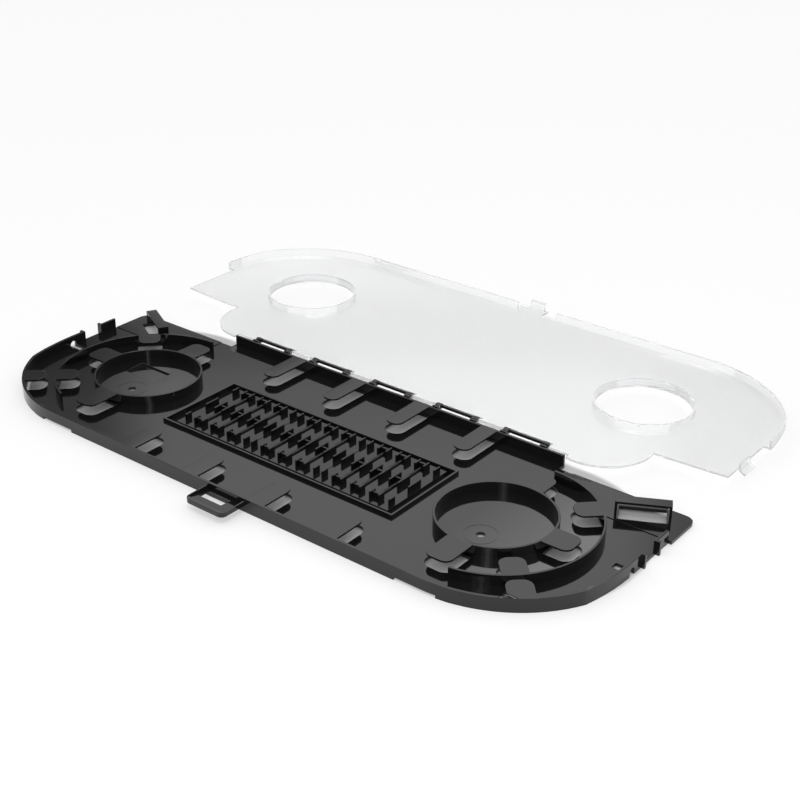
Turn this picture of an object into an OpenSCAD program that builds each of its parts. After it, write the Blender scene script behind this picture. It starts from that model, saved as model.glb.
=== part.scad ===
// Fibre splice tray with an open clear lid.
// Two fibre drums, arc guides, a well with three clip-in splice combs
// and a clear lid that swings on five hinge loops along the back edge.
// Units are millimetres. X runs along the tray, +Y is the hinge side, +Z is up.
// The tray stands on its skirt at z = 0.

/* [Part] */
// which node to build

/* [Tray] */
// height of the walls and drums above the surface the tray stands on
tray_height = 7.4; // [7:0.1:12]
// top of the tray floor above the surface the tray stands on
floor_top = 1.9; // [1.7:0.1:3]
// thickness of the floor plate
floor_thickness = 1.4; // [1.0:0.1:1.6]
// thickness of the outer wall
wall_thickness = 1.5; // [1.0:0.1:2]
// half length of the tray over its end walls
half_length = 188.4; // [180:0.5:200]
// distance from the line of the drums to the outside of the front wall
front_depth = 64.95; // [63:0.05:70]
// outer radius of the two rounded front corners
corner_arc_radius = 69.3; // [60:0.5:70]
// how far each corner arc centre lies outside its drum centre
corner_arc_shift = 4.5; // [2:0.5:8]
// y where the corner plates end at the back
plate_back_y = 62; // [60:0.5:66]
// rounding of the two back corners
plate_corner_radius = 5.5; // [3:0.5:9]
// y where the raised corner plates begin
plate_step_y = 37.5; // [36:0.5:42]
// how far the corner plates stand above the floor
plate_step = 0.4; // [0.2:0.1:0.8]
// how far both corner plates are set over to +X
plate_shift = 2; // [0:0.5:3]
// y where the fibre entry gap in each end wall begins
gap_from = 14; // [10:0.5:16]
// width of the fibre entry gap
gap_width = 12; // [8:0.5:14]

/* [Corner clips] */
// height of the clip bars above the wall tops
clip_rise = 2.2; // [0:0.1:3]
// length of a clip bar
clip_length = 27; // [22:0.5:28]
// width of a clip bar
clip_width = 6.3; // [5:0.1:7]
// thickness of a clip bar and of its legs
clip_thickness = 1.3; // [1:0.1:1.6]
// angle of the clip bars to the long axis
clip_angle = 28; // [20:1:32]
// distance from the end of the plate to the middle of the clip
clip_from_end = 22.5; // [20:0.5:26]
// distance from the back of the plate to the middle of the clip
clip_from_back = 11.8; // [10.8:0.1:13]

/* [Drums and guides] */
// outer radius of a fibre drum, the least bend radius of the fibre
drum_radius = 30; // [28:0.5:32]
// wall thickness of a drum
drum_wall = 1.2; // [0.9:0.1:1.6]
// distance between the two drum centres
drum_pitch = 236; // [230:1:242]
// outer radius of the arc guide round each drum
guide_radius = 51.3; // [48:0.5:54]
// wall thickness of an arc guide
guide_wall = 1.2; // [0.9:0.1:1.5]
// angle below the long axis where the right guide ends
right_guide_end = 80; // [60:1:82]
// angle below the long axis where the left guide ends
left_guide_end = 70; // [60:1:82]
// radius of the fixing hole in each drum
fixing_hole_radius = 2.25; // [2:0.05:2.6]
// y of the fixing holes
fixing_hole_y = -12.5; // [-16:0.5:-8]

/* [Retaining tabs] */
// thickness of the fibre retaining tabs
tab_thickness = 1.0; // [0.8:0.1:1.4]
// width of the tabs on the front wall
front_tab_width = 11; // [9:0.5:13]
// length of the front tabs from the outside of the wall
front_tab_length = 22.35; // [18:0.05:26]
// pitch of the front tabs
front_tab_pitch = 44.5; // [40:0.5:50]
// width of the tabs on the hinge wall
back_tab_width = 10; // [8:0.2:13]
// length of the tabs on the hinge wall from its back
back_tab_length = 28.4; // [22:0.1:31]
// pitch of the hinge loops and of the back tabs
hinge_pitch = 43.8; // [40:0.2:46]
// width of the tabs on the drums
drum_tab_width = 14; // [11:0.5:16]
// width of the tabs on the guides and corners
guide_tab_width = 12.6; // [11:0.1:15]
// length of the drum tabs outside the drum
drum_tab_length = 14; // [10:0.5:16]
// extra length of the drum tab that points at the front wall
front_drum_tab_extra = 4.2; // [0:0.1:6]
// length of the guide tabs and the corner tab on the left
left_guide_tab_length = 12; // [9:0.5:14]
// length of the guide tabs and the corner tab on the right
right_guide_tab_length = 13.8; // [9:0.1:15]
// gap kept round a tab by the window below it
tab_window_gap = 0.8; // [0.5:0.1:1.2]

/* [Splice combs] */
// pitch of the splice channels
channel_pitch = 11.925; // [11:0.025:12.5]
// height of the comb fingers above the tray underside
finger_top = 5.6; // [4.6:0.1:6.4]
// thickness of a comb finger
finger_thickness = 1.0; // [0.8:0.1:1.4]
// distance from the middle of a finger pair to each finger
finger_offset = 2.7; // [2.2:0.1:3.2]
// length of a comb along the channels
comb_length = 48; // [44:0.5:50]
// thickness of the comb base
comb_base = 1.6; // [1.2:0.1:2]
// gap between neighbouring combs
comb_gap = 0.3; // [0.1:0.1:0.6]
// thickness of the floor of the comb well
well_floor = 0.8; // [0.6:0.1:1]
// thickness of the well frame
well_wall = 1.2; // [0.8:0.1:1.6]
// room between the outer combs and the frame ends
well_end_room = 3.95; // [3:0.05:6]
// room between the comb ends and the frame sides
well_side_room = 2.4; // [1:0.1:3.4]
// height of the well frame above the tray floor
well_lip = 0.85; // [0.5:0.05:1.5]
// radius of the comb pegs
peg_radius = 1.5; // [1:0.1:2]
// gap round a peg in its hole
peg_clearance = 0.2; // [0.1:0.05:0.4]

/* [Lid and hinge] */
// thickness of the clear lid plate
lid_thickness = 1.2; // [1.0:0.1:1.6]
// gap between the closed lid and the wall tops
lid_gap = 0.2; // [0.1:0.05:0.4]
// y of the hinge axis
hinge_y = 69.3; // [68.9:0.1:69.7]
// height of the hinge axis above the wall tops
hinge_rise = 0; // [0:0.05:0.3]
// radius of the lid knuckles
knuckle_radius = 1.3; // [1.1:0.1:1.5]
// length of a hinge loop
loop_length = 28; // [24:0.5:30]
// radius of the lid pins
pin_radius = 0.8; // [0.7:0.05:0.9]
// gap round a pin in its cradle
pin_clearance = 0.15; // [0.1:0.01:0.2]
// gap between the lid rim and the outer wall
rim_clearance = 1.8; // [0.5:0.1:2.2]
// thickness of the lid rim
rim_thickness = 1.0; // [0.8:0.1:1.2]
// depth of the lid rim below the lid plate
rim_depth = 4.2; // [2:0.1:5]
// gap between the lid collars and the drums
collar_gap = 1.4; // [1:0.1:3]
// wall thickness of the collars
collar_wall = 1.1; // [0.8:0.1:1.4]
// depth of the collars below the lid plate
collar_depth = 3.6; // [3:0.1:5]

/* [Hidden] */
$fn = 96;
e = 0.01;
floor_bottom = floor_top - floor_thickness;
wall_top = tray_height;
drum_x = drum_pitch / 2;
front_y = -front_depth;
corner_arc_x = drum_x + corner_arc_shift;
arc_y = front_y + corner_arc_radius;
end_arc_radius = 120;
gap_to = gap_from + gap_width;
flange_reach = 1.8;
// hinge wall and loops
hinge_wall_back = hinge_y - 1.9;
hinge_wall_from = -2 * hinge_pitch - loop_length / 2 - 12.4;
hinge_wall_to = 2 * hinge_pitch + loop_length / 2 + 11.9;
hinge_z = wall_top + hinge_rise;
loop_end = 3.6;
loop_bar_front = hinge_y + pin_radius + 0.8;
loop_bar_back = loop_bar_front + 1.3;
loop_top = hinge_z + 0.6;
loop_bottom = hinge_z - 1.8;
bar_top = hinge_z + 0.3;
bar_bottom = hinge_z - 1.3;
// tabs
front_tab_x0 = 1.5;
back_tab_x0 = 1.9;
back_guide_tab_angle = 44;
left_front_tab_angle = -42.5;
right_front_tab_angle = -45.6;
// the corner tab is seen from the corner arc centre, and leans back towards the drum
corner_tab_lag = 5.6;
corner_tab_turn = 3;
// arched port through each end wall, with a slot in the floor
port_y = 4.5;
port_width = 4.2;
port_top = floor_top + 2.5;
port_length = 9.4;
// corner clips
clip_x = half_length - clip_from_end;
clip_y = plate_back_y - clip_from_back;
clip_top = wall_top + clip_rise;
clip_window_length = clip_length - 2 * clip_thickness - 1.8;
clip_window_front = clip_width / 2 + 3.45;
clip_window_back = clip_width / 2 + 2.45;
plate_inner_x = drum_x + 4;
// blank label recess in the left drum, and the notches in the front skirt
label_x = 19.4;
label_y = 0.6;
label_length = 22.4;
label_width = 12.8;
label_depth = 0.9;
notch_x = drum_x + 1;
notch_length = 22.8;
notch_height = 1.6;
// latch
latch_plate_x = 5.7;
latch_plate_width = 25;
latch_plate_reach = 15.8;
latch_plate_top = wall_top - 0.8;
latch_plate_height = 2.6;
latch_x = 3.4;
latch_slot_width = 14.4;
latch_slot_depth = 7;
latch_slot_start = 1.8;
// combs and their well
comb_x0 = 0.6;
comb_pitch = 4 * channel_pitch;
comb_width = comb_pitch - comb_gap;
comb_top = well_floor + comb_base;
peg_y = 10;
finger_rows = [[-19.8, 4.2], [-4.8, 9.6], [15.8, 4.9]];
web_rows = [-17.8, 0, 18.8];
well_inside_x = 1.5 * comb_pitch + comb_x0 + well_end_room;
well_inside_y = comb_length / 2 + well_side_room;
// lid
lid_inner = wall_top + lid_gap;
lid_rim_out = rim_clearance + rim_thickness;
lid_end_x = half_length - 1.4;
lid_end_back = plate_step_y + 0.9;
lid_shoulder_y = plate_step_y + 3.2;
lid_shoulder_x = drum_x + 34;
lid_right_corner = [drum_x + 1.5, hinge_y - 24.3, 27.8];
lid_left_corner = [-drum_x + 2.5, hinge_y - 23.3, 27];
ear_width = 18.8;
ear_reach = 9.4;
grip_y = gap_from - 1.5;
grip_length = 11;
grip_height = 2.6;
collar_radius = drum_radius - drum_wall - collar_gap;
black = [0.05, 0.05, 0.055];
comb_black = [0.09, 0.09, 0.095];
clear = [0.88, 0.92, 0.95, 0.35];

// ---- helpers ----

// flat outline of a tab that points along +Y, with rounded tip corners
module tab_outline(length, width, r) {
  translate([-width / 2, 0])
    square([width, length - r]);
  translate([-width / 2 + r, 0])
    square([width - 2 * r, length]);
  for (s = [-1, 1])
    translate([s * (width / 2 - r), length - r])
      circle(r = r);
}

// solid tab at wall-top level, pointing along +Y from its root
module tab(length, width, r = 4.5) {
  translate([0, 0, wall_top - tab_thickness])
    linear_extrude(tab_thickness)
      tab_outline(length, width, r);
}

// window through the floor below a tab
module tab_window(length, width, start, r = 4.5) {
  translate([0, start, floor_bottom - 1])
    linear_extrude(floor_thickness + 2)
      tab_outline(length + tab_window_gap - start, width + 2 * tab_window_gap, r + tab_window_gap);
}

// outline of the walled part of the tray, grown by g
module tray_outline(g) {
  translate([-corner_arc_x, front_y - g])
    square([2 * corner_arc_x, corner_arc_radius + g]);
  for (s = [-1, 1])
    intersection() {
      translate([s * corner_arc_x, arc_y])
        circle(r = corner_arc_radius + g, $fn = 180);
      // the ends ease into the straight end walls
      translate([s * (half_length - end_arc_radius), arc_y])
        circle(r = end_arc_radius + g, $fn = 300);
      translate([-half_length - 9, front_y - g - 1])
        square([2 * half_length + 18, corner_arc_radius + g + 1]);
    }
}

// floor outline with both corner plates
module floor_outline() {
  tray_outline(0);
  translate([-half_length, arc_y - e])
    square([2 * half_length, plate_step_y - arc_y + e]);
  translate([plate_shift, 0])
    plate_outline();
  translate([hinge_wall_from, arc_y])
    square([hinge_wall_to - hinge_wall_from, hinge_wall_back - arc_y]);
}

// back part of the floor, with its two rounded corners
module plate_outline() {
  translate([-half_length, plate_step_y - e])
    square([2 * half_length, plate_back_y - plate_corner_radius - plate_step_y + e]);
  translate([-half_length + plate_corner_radius, plate_back_y - 2 * plate_corner_radius])
    square([2 * (half_length - plate_corner_radius), 2 * plate_corner_radius]);
  for (s = [-1, 1])
    translate([s * (half_length - plate_corner_radius), plate_back_y - plate_corner_radius])
      circle(r = plate_corner_radius);
}

// front wall and rounded corners, from the skirt to the wall top
module outer_wall() {
  difference() {
    linear_extrude(wall_top)
      tray_outline(0);
    translate([0, 0, -1])
      linear_extrude(wall_top + 2)
        tray_outline(-wall_thickness);
  }
}

// end walls with the fibre entry gap
module end_wall(s) {
  x = s > 0 ? half_length - wall_thickness : -half_length;
  translate([x, arc_y - e, 0])
    cube([wall_thickness, gap_from - arc_y + e, wall_top]);
  translate([x, gap_from - e, 0])
    cube([wall_thickness, gap_to - gap_from + 2 * e, floor_top]);
  translate([x, gap_to, 0])
    cube([wall_thickness, plate_step_y - gap_to, wall_top]);
  // turned-out ends on each side of the gap
  for (y = [gap_from - wall_thickness, gap_to])
    translate([s > 0 ? half_length - wall_thickness : -half_length - flange_reach, y, 0])
      cube([wall_thickness + flange_reach, wall_thickness, wall_top]);
}

module drum() {
  difference() {
    translate([0, 0, floor_top - e])
      cylinder(h = wall_top - floor_top + e, r = drum_radius, $fn = 180);
    translate([0, 0, floor_top - 1])
      cylinder(h = wall_top, r = drum_radius - drum_wall, $fn = 180);
  }
}

// arc guide on the outside of the drum at +X
module guide(end_angle) {
  translate([0, 0, floor_top - e])
    rotate([0, 0, -end_angle])
      rotate_extrude(angle = end_angle + 90, $fn = 180)
        translate([guide_radius - guide_wall, 0])
          square([guide_wall, wall_top - floor_top + e]);
}

// every tab or window near the drum at +X; cut = true gives the windows
module drum_tabs(cut, front_angle, length) {
  // on the drum, the one at the front longer
  for (a = [-90, 0, 90]) {
    reach = drum_radius + drum_tab_length + (a == -90 ? front_drum_tab_extra : 0);
    rotate([0, 0, a - 90])
      if (cut)
        tab_window(reach, drum_tab_width, drum_radius + 1.1);
      else
        translate([0, drum_radius - drum_wall / 2, 0])
          tab(reach - drum_radius + drum_wall / 2, drum_tab_width);
  }
  // on the guide, pointing in
  for (a = [front_angle, back_guide_tab_angle])
    rotate([0, 0, a + 90])
      translate([0, -guide_radius + guide_wall / 2, 0])
        if (cut)
          tab_window(length, guide_tab_width, guide_wall / 2 + 0.9);
        else
          tab(length, guide_tab_width);
  // on the rounded corner of the outer wall, pointing in
  translate([corner_arc_shift, arc_y, 0])
    rotate([0, 0, front_angle - corner_tab_lag])
      translate([corner_arc_radius - wall_thickness / 2, 0, 0])
        rotate([0, 0, 90 + corner_tab_turn])
          if (cut)
            tab_window(length, guide_tab_width, wall_thickness / 2 + 0.8);
          else
            tab(length, guide_tab_width);
}

// tabs or windows of both drum areas
module side_tabs(cut) {
  translate([drum_x, 0, 0])
    drum_tabs(cut, right_front_tab_angle, right_guide_tab_length);
  mirror([1, 0, 0])
    translate([drum_x, 0, 0])
      drum_tabs(cut, left_front_tab_angle, left_guide_tab_length);
}

// both drum areas, the left one mirrored
module at_drums() {
  translate([drum_x, 0, 0])
    children();
  mirror([1, 0, 0])
    translate([drum_x, 0, 0])
      children();
}

module front_tabs(cut) {
  reach = front_tab_length - wall_thickness / 2;
  for (i = [-1.5:1:1.5])
    translate([front_tab_x0 + i * front_tab_pitch, front_y + wall_thickness / 2, 0])
      if (cut)
        tab_window(reach, front_tab_width, wall_thickness / 2 + 0.4);
      else
        tab(reach, front_tab_width);
}

module back_tabs(cut) {
  reach = back_tab_length - wall_thickness / 2;
  for (i = [-1.5:1:1.5])
    translate([back_tab_x0 + i * hinge_pitch, hinge_wall_back - wall_thickness / 2, 0])
      rotate([0, 0, 180])
        if (cut)
          tab_window(reach, back_tab_width, wall_thickness / 2 + 0.4);
        else
          tab(reach, back_tab_width);
}

// hinge wall with five loops that carry the lid pins
module hinge_wall() {
  translate([hinge_wall_from, hinge_wall_back - wall_thickness, 0])
    cube([hinge_wall_to - hinge_wall_from, wall_thickness, wall_top]);
  for (i = [-2:2])
    translate([i * hinge_pitch, 0, 0])
      hinge_loop();
}

// bar on two end webs, each with a cradle that a pin snaps into from above
module hinge_loop() {
  translate([-loop_length / 2, loop_bar_front, bar_bottom])
    cube([loop_length, loop_bar_back - loop_bar_front, bar_top - bar_bottom]);
  for (s = [-1, 1])
    translate([s * (loop_length - loop_end) / 2, 0, 0])
      difference() {
        translate([-loop_end / 2, hinge_wall_back - e, loop_bottom])
          cube([loop_end, loop_bar_back - hinge_wall_back + e, loop_top - loop_bottom]);
        translate([-loop_end / 2 - 1, hinge_y, hinge_z])
          rotate([0, 90, 0])
            cylinder(h = loop_end + 2, r = pin_radius + pin_clearance, $fn = 48);
      }
}

// tube clip at one back corner: a bar on two legs over a floor window
module clip() {
  translate([-clip_length / 2, -clip_width / 2, clip_top - clip_thickness])
    cube([clip_length, clip_width, clip_thickness]);
  for (s = [-1, 1])
    translate([s * (clip_length - clip_thickness) / 2 - clip_thickness / 2, -clip_width / 2, floor_top - e])
      cube([clip_thickness, clip_width, clip_top - floor_top - clip_thickness + 2 * e]);
}

module clip_window() {
  translate([-clip_window_length / 2, -clip_window_front, floor_bottom - 1])
    cube([clip_window_length, clip_window_front + clip_window_back, floor_thickness + plate_step + 2]);
}

module at_clips() {
  translate([plate_shift + clip_x, clip_y, 0])
    rotate([0, 0, clip_angle])
      children();
  translate([plate_shift, 0, 0])
    mirror([1, 0, 0])
      translate([clip_x, clip_y, 0])
        rotate([0, 0, clip_angle])
          children();
}

// plate in front of the tray that takes the lid latch, with a raised edge
module latch_plate() {
  edge = 1.6;
  translate([latch_plate_x - latch_plate_width / 2, front_y - latch_plate_reach,
      latch_plate_top - latch_plate_height])
    difference() {
      cube([latch_plate_width, latch_plate_reach + e, latch_plate_height]);
      translate([edge, edge * 1.6, latch_plate_height / 2])
        cube([latch_plate_width - 2 * edge, latch_plate_reach - edge * 1.6, latch_plate_height]);
    }
}

// frame of the well that holds the combs
module well() {
  translate([-well_inside_x - well_wall, -well_inside_y - well_wall, 0])
    cube([2 * (well_inside_x + well_wall), 2 * (well_inside_y + well_wall), floor_top + well_lip]);
}

// room inside the well for the combs
module well_room() {
  translate([-well_inside_x, -well_inside_y, well_floor])
    cube([2 * well_inside_x, 2 * well_inside_y, floor_top + well_lip]);
}

// one clip-in comb with four splice channels
module comb() {
  difference() {
    translate([-comb_width / 2, -comb_length / 2, well_floor])
      cube([comb_width, comb_length, comb_base]);
    // round-bottomed troughs for the splices
    for (i = [-1.5:1:1.5])
      translate([i * channel_pitch, -comb_length / 2 + 2, comb_top + 1.6])
        rotate([-90, 0, 0])
          cylinder(h = comb_length - 4, r = 2.6, $fn = 32);
  }
  for (i = [-1.5:1:1.5], s = [-1, 1])
    finger(i * channel_pitch + s * (channel_pitch / 2 - finger_offset));
  // cross webs that tie each inner pair
  for (i = [-1:1], y = web_rows)
    translate([i * channel_pitch - finger_offset, y - 0.5, comb_top - e])
      cube([2 * finger_offset, 1, finger_top - comb_top - 0.4]);
  // pegs into the well floor
  for (y = [-peg_y, peg_y])
    translate([0, y, 0.1])
      cylinder(h = well_floor, r = peg_radius, $fn = 32);
}

// three short fingers in line, one per row
module finger(x) {
  for (row = finger_rows)
    translate([x - finger_thickness / 2, row[0], comb_top - e])
      cube([finger_thickness, row[1], finger_top - comb_top + e]);
}

// ---- nodes ----

module tray_base() {
  color(black)
    difference() {
      tray_solids();
      side_tabs(true);
      front_tabs(true);
      back_tabs(true);
      at_clips()
        clip_window();
      well_room();
      for (i = [-1:1], y = [-peg_y, peg_y])
        translate([comb_x0 + i * comb_pitch, y, -1])
          cylinder(h = well_floor + 2, r = peg_radius + peg_clearance, $fn = 32);
      at_drums()
        fixing_hole();
      // blank label recess in the left drum
      translate([-drum_x - label_x, label_y, floor_top - label_depth])
        cube([label_length, label_width, label_depth + 1]);
      // notches in the front skirt
      for (s = [-1, 1])
        translate([s * notch_x - notch_length / 2, front_y - 1, -1])
          cube([notch_length, wall_thickness + 1.4, notch_height + 1]);
      // window for the lid latch
      translate([latch_x - latch_slot_width / 2, front_y - latch_slot_start - latch_slot_depth, -1])
        cube([latch_slot_width, latch_slot_depth, wall_top + 1]);
      end_port();
      mirror([1, 0, 0])
        end_port();
    }
}

// everything that stands on or makes up the tray moulding, before the cuts
module tray_solids() {
  translate([0, 0, floor_bottom])
    linear_extrude(floor_thickness)
      floor_outline();
  corner_plates();
  outer_wall();
  end_wall(1);
  end_wall(-1);
  hinge_wall();
  well();
  latch_plate();
  at_drums()
    drum();
  side_tabs(false);
  translate([drum_x, 0, 0])
    guide(right_guide_end);
  mirror([1, 0, 0])
    translate([drum_x, 0, 0])
      guide(left_guide_end);
  at_clips()
    clip();
  front_tabs(false);
  back_tabs(false);
}

// arched port through the end wall at +X and the slot it opens from
module end_port() {
  arch_z = port_top - port_width / 2;
  translate([half_length - port_length, port_y - port_width / 2, -1])
    cube([port_length + 1, port_width, arch_z + 1]);
  translate([half_length - wall_thickness - 1, port_y, arch_z])
    rotate([0, 90, 0])
      cylinder(h = wall_thickness + 2, r = port_width / 2, $fn = 32);
}

// fixing hole with a shallow ring groove round it
module fixing_hole() {
  translate([0, fixing_hole_y, -1])
    cylinder(h = floor_top + 2, r = fixing_hole_radius, $fn = 48);
  translate([0, fixing_hole_y, floor_top - 0.2])
    difference() {
      cylinder(h = 1, r = 8.4, $fn = 64);
      cylinder(h = 1, r = 8.1, $fn = 64);
    }
}

// raised corner plates outside the guides
module corner_plates() {
  translate([0, 0, floor_top - e])
    linear_extrude(plate_step + e)
      for (s = [-1, 1])
        difference() {
          intersection() {
            floor_outline();
            translate([s > 0 ? plate_inner_x : -plate_inner_x - half_length, plate_step_y])
              square([half_length, plate_back_y]);
          }
          translate([s * drum_x, 0])
            circle(r = guide_radius - guide_wall / 2, $fn = 180);
        }
}

module splice_left() {
  color(comb_black)
    translate([comb_x0 - comb_pitch, 0, 0])
      comb();
}

module splice_middle() {
  color(comb_black)
    translate([comb_x0, 0, 0])
      comb();
}

module splice_right() {
  color(comb_black)
    translate([comb_x0 + comb_pitch, 0, 0])
      comb();
}

// front part of the tray outline, grown by g and cut off at the line y = -1
module rim_outline(g) {
  intersection() {
    tray_outline(g);
    translate([-2 * half_length, 2 * front_y])
      square([4 * half_length, -2 * front_y - 1]);
  }
}

// flat outline of the lid as it lies closed
module lid_outline() {
  rim_outline(lid_rim_out);
  polygon([[-lid_end_x, -3], [lid_end_x, -3], [lid_end_x, lid_end_back],
    [lid_shoulder_x, lid_shoulder_y], [-lid_shoulder_x, lid_shoulder_y], [-lid_end_x, lid_end_back]]);
  translate([-corner_arc_x, -3])
    square([2 * corner_arc_x, hinge_y + 3]);
  // rounded back corners, the right one larger
  for (c = [lid_left_corner, lid_right_corner])
    translate([c[0], c[1]])
      circle(r = c[2]);
  // ear over the latch
  translate([-ear_width / 2, front_y - ear_reach])
    square([ear_width, ear_reach + 2.6]);
}

// plate of the lid, cut clear of the hinge loops and the hinge wall
module lid_plate() {
  difference() {
    translate([0, 0, lid_inner])
      linear_extrude(lid_thickness)
        lid_outline();
    for (i = [-2:2])
      translate([i * hinge_pitch - loop_length / 2 - 0.5, hinge_wall_back - 2.5, lid_inner - 1])
        cube([loop_length + 1, hinge_y, lid_thickness + 2]);
    translate([hinge_wall_from - 0.8, hinge_y, lid_inner - 1])
      cube([hinge_wall_to - hinge_wall_from + 1.6, hinge_y, lid_thickness + 2]);
  }
}

// knuckles between the loops, with a stub pin on each side
module knuckles() {
  half = (hinge_pitch - loop_length) / 2;
  for (i = [-1.5:1:1.5])
    translate([i * hinge_pitch, hinge_y, hinge_z])
      rotate([0, 90, 0]) {
        translate([0, 0, -half + 0.5])
          cylinder(h = 2 * half - 1, r = knuckle_radius, $fn = 48);
        translate([0, 0, -half - loop_end + 0.3])
          cylinder(h = 2 * (half + loop_end - 0.3), r = pin_radius, $fn = 48);
      }
}

// rim under the front edge, open where the latch plate stands
module lid_rim() {
  translate([0, 0, lid_inner - rim_depth])
    difference() {
      linear_extrude(rim_depth + e)
        rim_outline(lid_rim_out);
      translate([0, 0, -1])
        linear_extrude(rim_depth + 1)
          tray_outline(rim_clearance);
      translate([latch_plate_x - latch_plate_width / 2 - 1, front_y - 6, -1])
        cube([latch_plate_width + 2, 12, rim_depth + 1]);
    }
}

// hooked tongue that drops into the window of the latch plate
module latch_tongue() {
  translate([latch_x - 5, front_y - 7.6, lid_inner - 5.6])
    cube([10, 1.2, 5.7]);
  translate([latch_x - 5, front_y - 8.3, lid_inner - 5.6])
    cube([10, 1.2, 1]);
}

// finger grip on the outer face, at the right end
module end_grip() {
  translate([lid_end_x - 1.5, grip_y, lid_inner + lid_thickness - e])
    cube([1.2, grip_length, grip_height]);
  translate([lid_end_x - 1.2, grip_y + 0.05, lid_inner + lid_thickness + grip_height - 0.7])
    rotate([0, -30, 0])
      cube([4.6, grip_length - 0.1, 1.2]);
}

// the lid in its closed position
module lid_closed() {
  difference() {
    union() {
      lid_plate();
      lid_rim();
      knuckles();
      latch_tongue();
      end_grip();
      for (s = [-1, 1])
        translate([s * drum_x, 0, lid_inner - collar_depth])
          cylinder(h = collar_depth + e, r = collar_radius, $fn = 120);
    }
    // holes over the drums
    for (s = [-1, 1])
      translate([s * drum_x, 0, lid_inner - collar_depth - 1])
        cylinder(h = collar_depth + lid_thickness + 2, r = collar_radius - collar_wall, $fn = 120);
  }
}

module lid() {
  color(clear)
    translate([0, hinge_y, hinge_z])
      rotate([180, 0, 0])
        translate([0, -hinge_y, -hinge_z])
          lid_closed();
}

tray_base();
splice_left();
splice_middle();
splice_right();
lid();
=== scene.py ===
"""Studio picture of a fibre splice tray with its clear lid open. Lengths are in metres."""
import math

import bmesh
import bpy
from mathutils import Matrix, Vector
from mathutils.geometry import intersect_point_line


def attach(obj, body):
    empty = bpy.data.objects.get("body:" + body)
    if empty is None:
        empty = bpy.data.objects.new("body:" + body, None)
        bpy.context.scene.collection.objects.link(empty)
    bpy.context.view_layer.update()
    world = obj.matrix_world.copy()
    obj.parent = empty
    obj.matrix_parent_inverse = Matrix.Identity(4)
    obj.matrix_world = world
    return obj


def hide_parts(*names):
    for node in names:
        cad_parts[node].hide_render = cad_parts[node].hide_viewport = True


MM = 0.001

# The camera looks from the front right, as a turn about +Z from straight ahead and a height.
CAMERA_TURN = math.radians(37.796)
CAMERA_HEIGHT = math.radians(27.379)
CAMERA_ROLL = math.radians(0.646)
CAMERA_DISTANCE = 766.74 * MM
CAMERA_AIM = Vector((11.92, 62.09, 7.4)) * MM
CAMERA_LENS = 63.99

# How far the mould rounds the sharp edges.
TRAY_EDGE = 0.18 * MM
COMB_EDGE = 0.12 * MM
LID_EDGE = 0.12 * MM
EDGE_SEGMENTS = 2
# Joins between faces that are sharper than this are edges; the rest is one curved surface.
EDGE_ANGLE = math.radians(40)
# Corners narrower than this, and edges shorter than this, have no room for rounding.
NARROWEST_CORNER = math.radians(25)
SHORTEST_EDGE = 0.35 * MM
# Faces that meet more sharply than this fold back on each other, and how far such a place reaches.
FOLD_ANGLE = math.radians(150)
FOLD_REACH = 1.5 * MM
# Points closer than this are one point, and faces that meet flatter than this are one face.
WELD = 0.004 * MM
FLAT_ANGLE = math.radians(0.5)
# Faces are split on a grid, so that each is a simple shape. The grid starts at a share of its pitch.
GRID_PITCH = 13.7 * MM
GRID_START = 0.37

TRAY_BLACK = (0.0068, 0.0068, 0.0074, 1.0)
COMB_BLACK = (0.0055, 0.0055, 0.006, 1.0)
LID_CLEAR = (0.975, 0.978, 0.981, 1.0)
LID_SEE_THROUGH = (0.955, 0.957, 0.96, 1.0)
WHITE = (1.0, 1.0, 1.0, 1.0)
STUDIO_WHITE = (0.56, 0.56, 0.56, 1.0)
STUDIO_ROUGHNESS = 0.9
TRAY_IOR = 1.5
COMB_IOR = 1.42
LID_IOR = 1.47
# Share of light that passes the lid straight, without bending at its edges.
LID_STRAIGHT = 0.35

# Surface of each plastic: its roughness, how far that wanders, its grain and its ripple.
TRAY_SURFACE = (0.07, 0.06, 220.0, 0.12)
COMB_SURFACE = (0.09, 0.08, 500.0, 0.1)
LID_SURFACE = (0.012, 0.015, 120.0, 0.03)
RIPPLE_DEPTH = 0.1 * MM
# The ripple is this share as fine as the grain.
RIPPLE_SHARE = 0.12
SMUDGE_DETAIL = 5.0
RIPPLE_DETAIL = 1.0

# Light that the surroundings give to things, and the glow that makes up the white of the table.
WORLD_FILL = 0.78
FLOOR_GLOW = 0.46

# Surroundings as gloss shows them: height above the level line in degrees, and brightness.
SURROUNDINGS = ((0, 0.9), (22, 0.8), (24.5, 0.45), (26.2, 0.75), (28, 0.93), (31, 1.2), (36, 1.4), (90, 1.6))
# Both ends of the bright surroundings, in degrees left of straight behind: where they start to dim,
# where they are dim, and the share that is left past that.
LEFT_DIM_FROM = 48.0
LEFT_DIM_TO = 52.0
LEFT_DIM_REST = 0.35
RIGHT_DIM_FROM = 28.0
RIGHT_DIM_TO = 24.0
RIGHT_DIM_REST = 0.55

# Lamps: name, place, aim, width, height, and power in watts.
LAMPS = (
    ("key", (0.26, -0.36, 0.22), (0, 0, 0), 0.05, 0.16, 0.075),
    ("key_edge", (0.262, -0.364, 0.222), (0, 0, 0), 0.12, 0.2, 0.105),
    ("overhead", (1.1, -0.9, 3.2), (0, 0.07, 0), 0.95, 0.95, 22.0),
)

DRUM_X = 118.0 * MM
DRUM_RADIUS = 30.0 * MM
GUIDE_INSIDE = 50.1 * MM
FLOOR_TOP = 1.9 * MM
CORNER_X = 122.5 * MM
CORNER_Y = 4.35 * MM
CORNER_RADIUS = 69.3 * MM
PLATE_END = 186 * MM
PLATE_FRONT = 38 * MM
PLATE_BACK = 60 * MM

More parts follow.
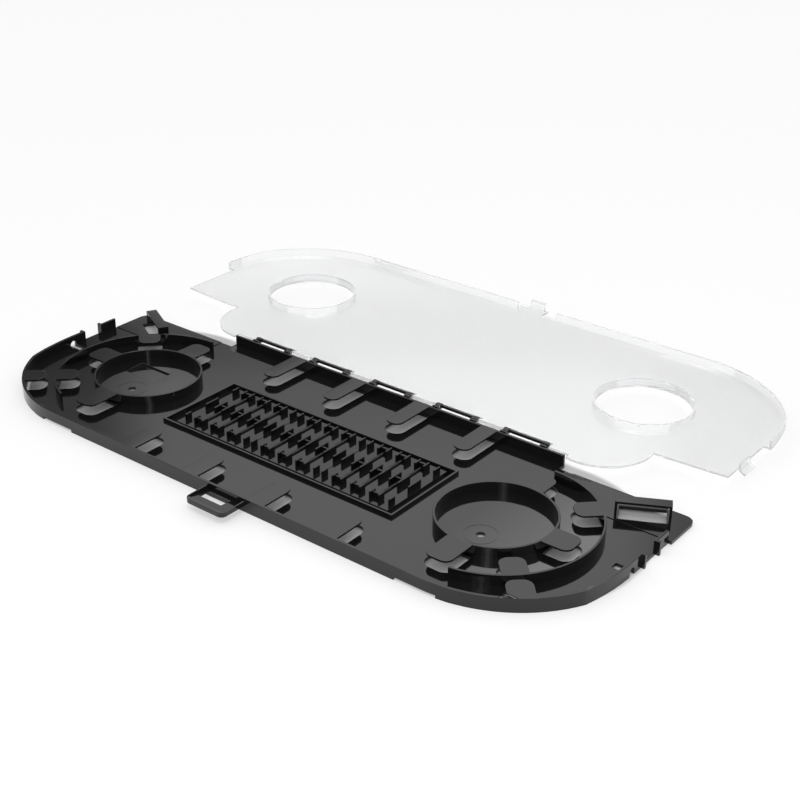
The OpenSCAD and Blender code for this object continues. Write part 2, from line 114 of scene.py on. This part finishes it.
# The table, just below the tray. Its glow rises between these distances inside the tray's outline,
# and is soft by the other two at the ends and the sides of the corner plates.
TABLE_HALF = 6.0
TABLE_TOP = -0.02 * MM
GLOW_START = 4 * MM
GLOW_FULL = 1 * MM
GLOW_END_SOFT = 1 * MM
GLOW_SIDE_SOFT = 2 * MM

# Floors with a painted sheen, an extra coat that brightens their reflection: middle along x, inner and
# outer radius, the places along x where it starts and where it is full, and how strong it is there.
SHEEN_PAINTED_FLOORS = (
    (DRUM_X, DRUM_RADIUS, GUIDE_INSIDE, 112 * MM, 156 * MM, 1.0),
    (DRUM_X, -DRUM_RADIUS, DRUM_RADIUS, 105 * MM, 165 * MM, 0.8),
    (-DRUM_X, -DRUM_RADIUS, DRUM_RADIUS, -200 * MM, -140 * MM, 0.35),
)
# Roughness of the painted sheen's coat, and how soft its mask is and how far below and above the floor top
# it reaches.
PAINTED_SHEEN_ROUGHNESS = 0.05
PAINTED_SHEEN_SOFT = 0.1 * MM
PAINTED_SHEEN_BELOW = 1.2 * MM
PAINTED_SHEEN_ABOVE = 0.3 * MM

# Frame of the comb well: its outer half sizes, its top, and how much higher and nearer it stands.
WELL_HALF_LENGTH = 77.3 * MM
WELL_HALF_WIDTH = 27.6 * MM
WELL_BACK_INSIDE = 26.4 * MM
WELL_TOP = 2.75 * MM
WELL_RAISED_TOP = 3.6 * MM
WELL_BACK_SHIFT = -1.4 * MM

# Shallow ring round each fixing hole.
RING_Y = -12.5 * MM
RING_REACH = 9 * MM
RING_LOW = 1.7 * MM
RING_RAISED = 1.8 * MM

# Latch plate: its front corners, and the fingertip scoop that slopes down to the tray wall.
LATCH_LEFT = -6.8 * MM
LATCH_RIGHT = 18.2 * MM
LATCH_FRONT = -80.75 * MM
LATCH_CORNER = 3 * MM
LATCH_SEGMENTS = 8
LATCH_RIM = 0.6 * MM
LATCH_LIP = 2 * MM
SCOOP_LEFT = -5.2 * MM
SCOOP_RIGHT = 16.6 * MM
SCOOP_FRONT = -78.19 * MM
SCOOP_BACK = -64.95 * MM
SCOOP_FLOOR = 5.3 * MM
SCOOP_HIGH = 6.0 * MM
SCOOP_LOW = 4.3 * MM

# Splice combs, and the half-round ribs along the middle of each pair of fingers.
COMB_X = 0.6 * MM
COMB_PITCH = 47.7 * MM
CHANNEL_PITCH = 11.925 * MM
COMB_BOTTOM = 0.8 * MM
COMB_TOP = 2.4 * MM
RIB_FRONT = -19.3 * MM
RIB_BACK = 20.3 * MM
RIB_RADIUS = 1.1 * MM
RIB_SEGMENTS = 32
RIB_SUNK = 0.1 * MM

# Two heights or places closer than this are the same.
SAME = 0.02 * MM


# ---- shading helpers ----

def feed(tree, value, socket):
    """Gives a socket a plain number, or links another socket to it."""
    if isinstance(value, (int, float)):
        socket.default_value = value
    else:
        tree.links.new(value, socket)


def calculate(tree, operation, first, second=None, clamp=False):
    """The result of a sum on numbers or sockets."""
    node = tree.nodes.new("ShaderNodeMath")
    node.operation = operation
    node.use_clamp = clamp
    feed(tree, first, node.inputs[0])
    if second is not None:
        feed(tree, second, node.inputs[1])
    return node.outputs["Value"]


def ramp(tree, value, start, end, low=0.0, high=1.0, shape="LINEAR"):
    """Goes from low to high while a value goes from start to end, and stays level outside."""
    node = tree.nodes.new("ShaderNodeMapRange")
    node.interpolation_type = shape
    for socket, number in (("From Min", start), ("From Max", end), ("To Min", low), ("To Max", high)):
        node.inputs[socket].default_value = number
    tree.links.new(value, node.inputs["Value"])
    return node.outputs["Result"]


def between(tree, value, low, high, soft):
    """1 where the value lies between low and high, and 0 outside, with soft ends."""
    rise = ramp(tree, value, low - soft, low + soft)
    fall = ramp(tree, value, high - soft, high + soft, 1.0, 0.0)
    return calculate(tree, "MULTIPLY", rise, fall)


def axes(tree, source):
    """The X, Y and Z of the coordinates with this name."""
    place = tree.nodes.new("ShaderNodeTexCoord")
    apart = tree.nodes.new("ShaderNodeSeparateXYZ")
    tree.links.new(place.outputs[source], apart.inputs["Vector"])
    return [apart.outputs[axis] for axis in "XYZ"]


def level_distance(tree, x, y, middle):
    """How far x and y lie from a middle, without regard to height."""
    flat = tree.nodes.new("ShaderNodeCombineXYZ")
    tree.links.new(x, flat.inputs["X"])
    tree.links.new(y, flat.inputs["Y"])
    reach = tree.nodes.new("ShaderNodeVectorMath")
    reach.operation = "DISTANCE"
    reach.inputs[1].default_value = (*middle, 0)
    tree.links.new(flat.outputs["Vector"], reach.inputs[0])
    return reach.outputs["Value"]


def noise(tree, scale, detail):
    """A noise pattern that stays in place on the piece."""
    place = tree.nodes.new("ShaderNodeTexCoord")
    pattern = tree.nodes.new("ShaderNodeTexNoise")
    pattern.inputs["Detail"].default_value = detail
    tree.links.new(place.outputs["Object"], pattern.inputs["Vector"])
    tree.links.new(scale, pattern.inputs["Scale"])
    return pattern.outputs["Fac"]


def new_group(name, inputs, outputs):
    """An empty shader group with named number sockets."""
    group = bpy.data.node_groups.new(name, "ShaderNodeTree")
    for socket, value in inputs.items():
        made = group.interface.new_socket(socket, in_out="INPUT", socket_type="NodeSocketFloat")
        made.default_value = value
    for socket in outputs:
        group.interface.new_socket(socket, in_out="OUTPUT", socket_type="NodeSocketFloat")
    return group


def moulded_surface_group():
    """Small unevenness of a moulded surface: a roughness that wanders, and a soft ripple."""
    group = new_group("moulded_surface", {"Roughness": 0.1, "Unevenness": 0.05, "Grain": 300.0},
                      ["Roughness", "Height"])
    given = group.nodes.new("NodeGroupInput").outputs
    result = group.nodes.new("NodeGroupOutput").inputs
    smudge = noise(group, given["Grain"], SMUDGE_DETAIL)
    centred = calculate(group, "SUBTRACT", smudge, 0.5)
    swing = calculate(group, "MULTIPLY", centred, given["Unevenness"])
    rough = calculate(group, "ADD", swing, given["Roughness"], clamp=True)
    group.links.new(rough, result["Roughness"])
    slow = calculate(group, "MULTIPLY", given["Grain"], RIPPLE_SHARE)
    group.links.new(noise(group, slow, RIPPLE_DETAIL), result["Height"])
    return group


def new_material(name):
    """A material with only a Principled shader and its output."""
    material = bpy.data.materials.new(name)
    material.use_nodes = True
    nodes = material.node_tree.nodes
    shader = next(n for n in nodes if n.type == "BSDF_PRINCIPLED")
    return material, shader


def add_surface(material, shader, look):
    """Feeds the shader's roughness and bump from the moulded surface group."""
    roughness, unevenness, grain, ripple = look
    nodes, links = material.node_tree.nodes, material.node_tree.links
    surface = nodes.new("ShaderNodeGroup")
    surface.node_tree = SURFACE
    surface.inputs["Roughness"].default_value = roughness
    surface.inputs["Unevenness"].default_value = unevenness
    surface.inputs["Grain"].default_value = grain
    links.new(surface.outputs["Roughness"], shader.inputs["Roughness"])
    bump = nodes.new("ShaderNodeBump")
    bump.inputs["Strength"].default_value = ripple
    bump.inputs["Distance"].default_value = RIPPLE_DEPTH
    links.new(surface.outputs["Height"], bump.inputs["Height"])
    links.new(bump.outputs["Normal"], shader.inputs["Normal"])


def painted_floor_sheen(tree, middle, inner, outer, bare_x, full_x, amount):
    """Painted sheen on a round floor: an extra coat from one radius to another, that rises along x."""
    x, y, z = axes(tree, "Object")
    ring = between(tree, level_distance(tree, x, y, (middle, 0)), inner, outer, PAINTED_SHEEN_SOFT)
    level = between(tree, z, FLOOR_TOP - PAINTED_SHEEN_BELOW, FLOOR_TOP + PAINTED_SHEEN_ABOVE, PAINTED_SHEEN_SOFT)
    masked = calculate(tree, "MULTIPLY", ring, level)
    return calculate(tree, "MULTIPLY", masked, ramp(tree, x, bare_x, full_x, high=amount))


def tray_gloss():
    """Polished black moulding, with a painted sheen on some of its floors."""
    material, shader = new_material("tray_gloss_black")
    shader.inputs["Base Color"].default_value = TRAY_BLACK
    shader.inputs["IOR"].default_value = TRAY_IOR
    shader.inputs["Coat Roughness"].default_value = PAINTED_SHEEN_ROUGHNESS
    add_surface(material, shader, TRAY_SURFACE)
    tree = material.node_tree
    # Painted sheen: an extra coat on some floors that brightens their reflection, fed into the coat weight.
    first, *others = [painted_floor_sheen(tree, *place) for place in SHEEN_PAINTED_FLOORS]
    painted_sheen_total = first
    for part in others:
        painted_sheen_total = calculate(tree, "ADD", painted_sheen_total, part, clamp=True)
    tree.links.new(painted_sheen_total, shader.inputs["Coat Weight"])
    return material


def comb_satin():
    """Black moulding of the splice combs, a little duller than the tray."""
    material, shader = new_material("comb_satin_black")
    shader.inputs["Base Color"].default_value = COMB_BLACK
    shader.inputs["IOR"].default_value = COMB_IOR
    add_surface(material, shader, COMB_SURFACE)
    return material


def clear_lid():
    """Clear moulding that lets most light through to what lies under it."""
    material, shader = new_material("clear_lid")
    shader.inputs["Base Color"].default_value = LID_CLEAR
    shader.inputs["Transmission Weight"].default_value = 1.0
    shader.inputs["IOR"].default_value = LID_IOR
    add_surface(material, shader, LID_SURFACE)
    tree = material.node_tree
    output = next(n for n in tree.nodes if n.type == "OUTPUT_MATERIAL")
    path = tree.nodes.new("ShaderNodeLightPath")
    see_through = tree.nodes.new("ShaderNodeBsdfTransparent")
    see_through.inputs["Color"].default_value = LID_SEE_THROUGH
    mix = tree.nodes.new("ShaderNodeMixShader")
    straight = calculate(tree, "MAXIMUM", path.outputs["Is Shadow Ray"], LID_STRAIGHT)
    tree.links.new(straight, mix.inputs["Fac"])
    tree.links.new(shader.outputs["BSDF"], mix.inputs[1])
    tree.links.new(see_through.outputs["BSDF"], mix.inputs[2])
    tree.links.new(mix.outputs["Shader"], output.inputs["Surface"])
    return material


# ---- pieces ----

def has_room(corner):
    """Whether the faces and edges that meet at a corner leave room for rounding."""
    if any(edge.calc_length() < SHORTEST_EDGE for edge in corner.link_edges):
        return False
    return all(loop.calc_angle() > NARROWEST_CORNER for loop in corner.link_loops)


def split_flats(shape):
    """Cuts the shape along a square grid. Its form stays the same."""
    for axis in (Vector((1, 0, 0)), Vector((0, 1, 0))):
        reach = max(abs(corner.co.dot(axis)) for corner in shape.verts)
        count = int(reach / GRID_PITCH)
        for step in range(-count, count + 1):
            everything = shape.verts[:] + shape.edges[:] + shape.faces[:]
            bmesh.ops.bisect_plane(shape, geom=everything, dist=SAME, plane_no=axis,
                                   plane_co=axis * (step + GRID_START) * GRID_PITCH)


def outward_edges(shape):
    """Sharp outward edges that have room for rounding."""
    found = []
    for edge in shape.edges:
        if edge.is_manifold and edge.calc_face_angle_signed() > EDGE_ANGLE:
            if all(has_room(corner) for corner in edge.verts):
                found.append(edge)
    return found


def round_off(shape, edges, width, segments):
    """Rounds the given edges."""
    bmesh.ops.bevel(shape, geom=edges, offset=width, offset_type="OFFSET", segments=segments,
                    profile=0.5, affect="EDGES", material=-1, clamp_overlap=False)


def folded_places(shape):
    """Places where the faces of a shape fold back on each other."""
    bmesh.ops.triangulate(shape, faces=shape.faces[:])
    folded = [edge for edge in shape.edges if edge.is_manifold and edge.calc_face_angle() > FOLD_ANGLE]
    return [(edge.verts[0].co + edge.verts[1].co) / 2 for edge in folded]


def is_near(edge, place):
    """Whether a place lies close to an edge."""
    start, end = (corner.co for corner in edge.verts)
    nearest, share = intersect_point_line(place, start, end)
    if share < 0.0:
        nearest = start
    if share > 1.0:
        nearest = end
    return (place - nearest).length < FOLD_REACH


def round_edges(shape, width):
    """Rounds the outward edges, as a mould leaves them, but none whose rounding would fold."""
    trial = shape.copy()
    round_off(trial, outward_edges(trial), width, EDGE_SEGMENTS)
    folds = folded_places(trial)
    trial.free()
    sound = [edge for edge in outward_edges(shape) if not any(is_near(edge, place) for place in folds)]
    round_off(shape, sound, width, EDGE_SEGMENTS)


def mark_surfaces(shape):
    """Curved surfaces shade smoothly, and edges stay crisp."""
    for face in shape.faces:
        face.smooth = True
    for edge in shape.edges:
        edge.smooth = edge.is_manifold and edge.calc_face_angle() < EDGE_ANGLE


def raise_well(shape):
    """A higher frame round the combs, whose back side stands nearer to them."""
    for corner in shape.verts:
        x, y, z = corner.co
        if abs(x) < WELL_HALF_LENGTH + SAME and abs(y) < WELL_HALF_WIDTH + SAME:
            if abs(z - WELL_TOP) < SAME:
                corner.co.z = WELL_RAISED_TOP
            if y > WELL_BACK_INSIDE - SAME:
                corner.co.y += WELL_BACK_SHIFT


def fill_rings(shape):
    """A shallower ring round each fixing hole."""
    for corner in shape.verts:
        x, y, z = corner.co
        if abs(z - RING_LOW) < SAME and math.hypot(abs(x) - DRUM_X, y - RING_Y) < RING_REACH:
            corner.co.z = RING_RAISED


def slope_latch(shape):
    """A wider scoop in the latch plate, which slopes down to the tray wall."""
    for corner in shape.verts:
        x, y, z = corner.co
        if y < SCOOP_BACK + SAME and z > SCOOP_FLOOR - SAME:
            if abs(x - SCOOP_LEFT) < SAME:
                corner.co.x = LATCH_LEFT + LATCH_RIM
            if abs(x - SCOOP_RIGHT) < SAME:
                corner.co.x = LATCH_RIGHT - LATCH_RIM
            if abs(y - SCOOP_FRONT) < SAME:
                corner.co.y = LATCH_FRONT + LATCH_LIP
        if abs(z - SCOOP_FLOOR) < SAME and LATCH_LEFT < x < LATCH_RIGHT and y < SCOOP_BACK + SAME:
            share = (y - SCOOP_FRONT) / (SCOOP_BACK - SCOOP_FRONT)
            corner.co.z = SCOOP_HIGH + share * (SCOOP_LOW - SCOOP_HIGH)


def round_latch(shape):
    """Round front corners of the latch plate."""
    upright = []
    for edge in shape.edges:
        if all(abs(v.co.y - LATCH_FRONT) < SAME for v in edge.verts):
            if any(all(abs(v.co.x - side) < SAME for v in edge.verts) for side in (LATCH_LEFT, LATCH_RIGHT)):
                upright.append(edge)
    round_off(shape, upright, LATCH_CORNER, LATCH_SEGMENTS)


def refine_tray(shape):
    """Finer forms of the tray."""
    raise_well(shape)
    fill_rings(shape)
    slope_latch(shape)
    round_latch(shape)


def fill_holes(shape):
    """Closes every open edge of a shape with a flat face."""
    bmesh.ops.holes_fill(shape, edges=[edge for edge in shape.edges if edge.is_boundary], sides=0)


def flat_channels(shape):
    """Closes the channel floors of a comb level with its top."""
    sunk = [v for v in shape.verts if COMB_BOTTOM + SAME < v.co.z < COMB_TOP - SAME]
    bmesh.ops.delete(shape, geom=sunk, context="VERTS")
    fill_holes(shape)
    bmesh.ops.recalc_face_normals(shape, faces=shape.faces)


def add_piece(name, shape, body, finish):
    """A new piece from a finished shape, with even normals over its flat faces."""
    mesh = bpy.data.meshes.new(name)
    mark_surfaces(shape)
    shape.to_mesh(mesh)
    shape.free()
    for old in ("custom_normal", "sharp_face"):
        if old in mesh.attributes:
            mesh.attributes.remove(mesh.attributes[old])
    mesh.materials.clear()
    mesh.materials.append(finish)
    piece = bpy.data.objects.new(name, mesh)
    bpy.context.scene.collection.objects.link(piece)
    even = piece.modifiers.new("even normals", "WEIGHTED_NORMAL")
    even.mode = "FACE_AREA"
    even.keep_sharp = True
    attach(piece, body)
    return piece


def moulded_piece(node, body, edge, finish, refine=None):
    """A CAD piece with its finer forms, and its sharp edges rounded."""
    shape = bmesh.new()
    shape.from_mesh(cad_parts[node].data)
    bmesh.ops.remove_doubles(shape, verts=shape.verts, dist=WELD)
    bmesh.ops.dissolve_limit(shape, angle_limit=FLAT_ANGLE, verts=shape.verts, edges=shape.edges)
    if refine:
        refine(shape)
    split_flats(shape)
    round_edges(shape, edge)
    piece = add_piece(node + "_moulded", shape, body, finish)
    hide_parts(node)
    return piece


def comb_ribs(name, comb_x):
    """Three half-round ribs that run along one comb, between its fingers."""
    shape = bmesh.new()
    for i in (-1, 0, 1):
        made = bmesh.ops.create_cone(shape, cap_ends=True, segments=RIB_SEGMENTS, radius1=RIB_RADIUS,
                                     radius2=RIB_RADIUS, depth=RIB_BACK - RIB_FRONT)
        bmesh.ops.rotate(shape, verts=made["verts"], matrix=Matrix.Rotation(math.pi / 2, 3, "X"))
        middle = (comb_x + i * CHANNEL_PITCH, (RIB_FRONT + RIB_BACK) / 2, COMB_TOP)
        bmesh.ops.translate(shape, verts=made["verts"], vec=middle)
    everything = shape.verts[:] + shape.edges[:] + shape.faces[:]
    bmesh.ops.bisect_plane(shape, geom=everything, plane_co=(0, 0, COMB_TOP - RIB_SUNK),
                           plane_no=(0, 0, 1), clear_inner=True)
    fill_holes(shape)
    return add_piece(name + "_ribs", shape, "tray", COMB_FINISH)


# ---- studio ----

def seen_by_camera_or_gloss(tree):
    """1 for camera, glossy and transmission rays, and 0 for light that falls on things."""
    path = tree.nodes.new("ShaderNodeLightPath")
    first = calculate(tree, "MAXIMUM", path.outputs["Is Camera Ray"], path.outputs["Is Glossy Ray"])
    return calculate(tree, "MAXIMUM", first, path.outputs["Is Transmission Ray"])


def outside_tray(tree):
    """0 on the table below the tray and 1 outside it, along its rounded ends."""
    x, y, _ = axes(tree, "Object")
    mirrored = calculate(tree, "ABSOLUTE", x)
    past_corner = calculate(tree, "MAXIMUM", calculate(tree, "SUBTRACT", mirrored, CORNER_X), 0.0)
    reach = level_distance(tree, past_corner, y, (0, CORNER_Y))
    rise = ramp(tree, reach, CORNER_RADIUS - GLOW_START, CORNER_RADIUS - GLOW_FULL)
    along = between(tree, mirrored, -PLATE_END, PLATE_END, GLOW_END_SOFT)
    across = between(tree, y, PLATE_FRONT, PLATE_BACK, GLOW_SIDE_SOFT)
    below_plates = calculate(tree, "MULTIPLY", along, across)
    return calculate(tree, "SUBTRACT", rise, below_plates, clamp=True)


def studio_floor():
    """White table that glows a little for the camera and keeps the soft shadow."""
    mesh = bpy.data.meshes.new("studio_floor")
    shape = bmesh.new()
    bmesh.ops.create_grid(shape, x_segments=1, y_segments=1, size=TABLE_HALF)
    bmesh.ops.translate(shape, verts=shape.verts, vec=(0, 0, TABLE_TOP))
    shape.to_mesh(mesh)
    shape.free()
    material, shader = new_material("studio_white")
    shader.inputs["Base Color"].default_value = STUDIO_WHITE
    shader.inputs["Roughness"].default_value = STUDIO_ROUGHNESS
    shader.inputs["Specular IOR Level"].default_value = 0.0
    shader.inputs["Emission Color"].default_value = WHITE
    tree = material.node_tree
    seen = calculate(tree, "MULTIPLY", seen_by_camera_or_gloss(tree), outside_tray(tree))
    tree.links.new(calculate(tree, "MULTIPLY", seen, FLOOR_GLOW), shader.inputs["Emission Strength"])
    mesh.materials.append(material)
    floor = bpy.data.objects.new("studio_floor", mesh)
    bpy.context.scene.collection.objects.link(floor)


def brightness_by_height(tree, z):
    """Brightness of the surroundings at a height, as a share of the brightest."""
    steps = tree.nodes.new("ShaderNodeFloatCurve")
    curve = steps.mapping.curves[0]
    top = SURROUNDINGS[-1][1]
    for degrees, bright in SURROUNDINGS[1:-1]:
        curve.points.new(degrees / 90.0, bright / top)
    curve.points[0].location = (0.0, SURROUNDINGS[0][1] / top)
    curve.points[len(curve.points) - 1].location = (1.0, 1.0)
    steps.mapping.update()
    height = calculate(tree, "ARCSINE", z)
    share = calculate(tree, "DIVIDE", height, math.pi / 2, clamp=True)
    tree.links.new(share, steps.inputs["Value"])
    return steps.outputs["Value"]


def brightness_by_side(tree, x, y):
    """The greatest brightness between the two ends of the surroundings, and less past them."""
    top = SURROUNDINGS[-1][1]
    aside = calculate(tree, "ARCTAN2", calculate(tree, "MULTIPLY", x, -1.0), y)
    left = ramp(tree, aside, math.radians(LEFT_DIM_FROM), math.radians(LEFT_DIM_TO),
                top, top * LEFT_DIM_REST, "SMOOTHSTEP")
    right = ramp(tree, aside, math.radians(RIGHT_DIM_TO), math.radians(RIGHT_DIM_FROM),
                 RIGHT_DIM_REST, 1.0, "SMOOTHSTEP")
    return calculate(tree, "MULTIPLY", left, right)


def studio_world():
    """White surroundings. Gloss shows them dimmer low down and at both ends."""
    world = bpy.data.worlds.new("studio")
    world.use_nodes = True
    bpy.context.scene.world = world
    tree = world.node_tree
    background = next(n for n in tree.nodes if n.type == "BACKGROUND")
    background.inputs["Color"].default_value = WHITE
    x, y, z = axes(tree, "Generated")
    shown = calculate(tree, "MULTIPLY", brightness_by_height(tree, z), brightness_by_side(tree, x, y))
    path = tree.nodes.new("ShaderNodeLightPath")
    through = calculate(tree, "MAXIMUM", path.outputs["Is Camera Ray"],
                        path.outputs["Is Transmission Ray"])
    plain = ramp(tree, through, 0.0, 1.0, WORLD_FILL, 1.0)
    strength = tree.nodes.new("ShaderNodeMix")
    strength.data_type = "FLOAT"
    tree.links.new(path.outputs["Is Glossy Ray"], strength.inputs["Factor"])
    tree.links.new(plain, strength.inputs["A"])
    tree.links.new(shown, strength.inputs["B"])
    tree.links.new(strength.outputs["Result"], background.inputs["Strength"])


def softbox(name, place, aim, width, height, watts):
    """A rectangular lamp that faces its aim."""
    lamp = bpy.data.lights.new(name, "AREA")
    lamp.shape = "RECTANGLE"
    lamp.size = width
    lamp.size_y = height
    lamp.energy = watts
    holder = bpy.data.objects.new(name, lamp)
    holder.location = place
    holder.rotation_euler = (Vector(aim) - Vector(place)).to_track_quat("-Z", "Y").to_euler()
    bpy.context.scene.collection.objects.link(holder)


def camera():
    """The camera, set by its turn, height, roll and distance from its aim."""
    back = Vector((math.sin(CAMERA_TURN) * math.cos(CAMERA_HEIGHT),
                   -math.cos(CAMERA_TURN) * math.cos(CAMERA_HEIGHT),
                   math.sin(CAMERA_HEIGHT)))
    level = Vector((0, 0, 1)).cross(back).normalized()
    upright = back.cross(level)
    right = level * math.cos(CAMERA_ROLL) + upright * math.sin(CAMERA_ROLL)
    up = upright * math.cos(CAMERA_ROLL) - level * math.sin(CAMERA_ROLL)
    place = CAMERA_AIM + back * CAMERA_DISTANCE
    turn = Matrix((right, up, back)).transposed().to_4x4()
    lens = bpy.data.cameras.new("camera")
    lens.lens = CAMERA_LENS
    lens.sensor_width = 36.0
    lens.clip_start = 0.01
    holder = bpy.data.objects.new("camera", lens)
    holder.matrix_world = Matrix.Translation(place) @ turn
    bpy.context.scene.collection.objects.link(holder)
    bpy.context.scene.camera = holder


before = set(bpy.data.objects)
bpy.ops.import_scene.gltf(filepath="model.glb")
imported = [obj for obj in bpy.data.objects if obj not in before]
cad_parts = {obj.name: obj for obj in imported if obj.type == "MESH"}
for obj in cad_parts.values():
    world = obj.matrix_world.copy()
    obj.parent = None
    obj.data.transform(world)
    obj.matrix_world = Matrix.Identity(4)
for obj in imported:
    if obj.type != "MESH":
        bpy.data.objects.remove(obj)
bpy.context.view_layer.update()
bpy.context.scene.view_settings.view_transform = "Standard"
camera()
studio_world()
studio_floor()
for lamp in LAMPS:
    softbox(*lamp)

SURFACE = moulded_surface_group()
COMB_FINISH = comb_satin()
moulded_piece("tray_base", "tray", TRAY_EDGE, tray_gloss(), refine_tray)
for place, name in enumerate(("splice_left", "splice_middle", "splice_right")):
    moulded_piece(name, "tray", COMB_EDGE, COMB_FINISH, flat_channels)
    comb_ribs(name, COMB_X + (place - 1) * COMB_PITCH)
moulded_piece("lid", "lid", LID_EDGE, clear_lid())
